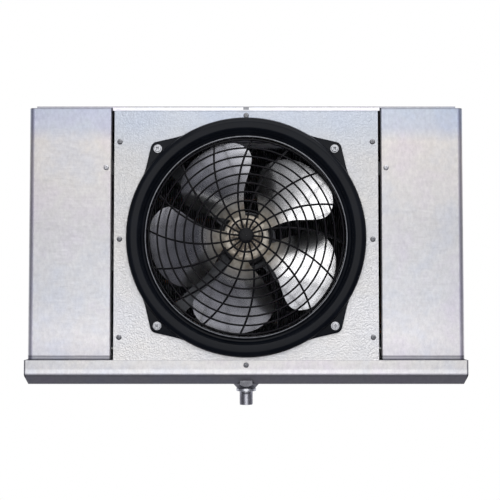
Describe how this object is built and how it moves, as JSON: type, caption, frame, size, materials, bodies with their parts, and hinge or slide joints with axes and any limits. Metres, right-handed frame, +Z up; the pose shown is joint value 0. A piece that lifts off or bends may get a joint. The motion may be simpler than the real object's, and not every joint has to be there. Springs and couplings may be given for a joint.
{
  "type": "walk-in unit cooler",
  "caption": "Ceiling-hung walk-in unit cooler: fan with a domed wire guard in a moulded ring, end compartments, finned coil and a hinged drain pan with a drain nipple.",
  "frame": {"origin": "centre of the four hanger slots on the top face of the cabinet, the ceiling mounting plane", "axes": "+X to the right seen from the front, along the width; +Y to the rear; +Z up, out of the top face"},
  "size_m": [0.69, 0.457, 0.4683],
  "materials": {
    "cabinet_aluminium": "mill finish sheet",
    "embossed_aluminium": "stucco embossed sheet",
    "galvanised_steel": "galvanised sheet",
    "fin_aluminium": "bare fin stock",
    "copper": "bare copper tube",
    "brass": "turned brass",
    "black_plastic": "moulded, glossy",
    "black_wire": "black coated wire",
    "blade_aluminium": "polished sheet",
    "zinc_steel": "zinc plated",
    "dark_screw": "dark zinc",
    "motor_black": "satin black enamel",
    "laminated_steel": "laminations",
    "bronze": "sintered bronze",
    "black_rubber": "matt",
    "grey_plastic": "phenolic block",
    "pan_aluminium": "mill finish sheet",
    "chromed_steel": "plated pipe"
  },
  "bodies": {
    "cabinet": {"top_panel": "cabinet_aluminium", "fan_panel": "embossed_aluminium", "left_end_plate": "galvanised_steel", "right_end_plate": "galvanised_steel", "left_end_cover": "cabinet_aluminium", "right_end_cover": "cabinet_aluminium", "cover_clips": "galvanised_steel", "cover_screws": "zinc_steel", "panel_screws": "dark_screw", "flange_clip": "dark_screw", "left_hanger_rail": "galvanised_steel", "right_hanger_rail": "galvanised_steel", "frame_rivets": "zinc_steel", "top_rail": "galvanised_steel", "rear_rail": "galvanised_steel", "coil_fins": "fin_aluminium", "coil_tubes": "copper", "return_bends": "copper", "suction_header": "copper", "service_valve": "brass", "liquid_line": "copper", "distributor": "brass", "feeder_tubes": "copper", "pipe_grommets": "black_rubber", "fan_shroud": "black_plastic", "guard_rings": "black_wire", "guard_spokes": "black_wire", "guard_disc": "black_wire", "guard_screws": "zinc_steel", "mount_nuts": "zinc_steel", "motor_stator": "laminated_steel", "motor_housing": "motor_black", "motor_end_bell": "motor_black", "motor_bearings": "bronze", "motor_mount": "galvanised_steel", "motor_bolts": "zinc_steel", "motor_lead": "black_rubber", "lead_grommet": "black_rubber", "junction_box": "galvanised_steel", "junction_box_cover": "galvanised_steel", "terminal_block": "grey_plastic", "cabinet_hinge_leaves": "zinc_steel", "hinge_pins": "zinc_steel"},
    "fan_rotor": {"fan_blade": "blade_aluminium", "fan_hub": "brass", "hub_set_screw": "zinc_steel", "motor_shaft": "zinc_steel", "motor_rotor": "laminated_steel"},
    "pan_assembly": {"drain_pan": "pan_aluminium", "drain_coupling": "zinc_steel", "drain_collar": "zinc_steel", "drain_nipple": "chromed_steel", "pan_screw": "dark_screw", "pan_screw_nut": "zinc_steel", "pan_hinge_leaves": "zinc_steel"}
  },
  "joints": [
    {"name": "fan_spin", "type": "hinge", "parent": "cabinet", "child": "fan_rotor", "pos_m": [0, -0.163, -0.206], "axis": [0, 1, 0], "continuous": true},
    {"name": "pan_swing", "type": "hinge", "parent": "cabinet", "child": "pan_assembly", "pos_m": [0, 0.197, -0.403], "axis": [1, 0, 0], "range_deg": [0, 80]}
  ]
}
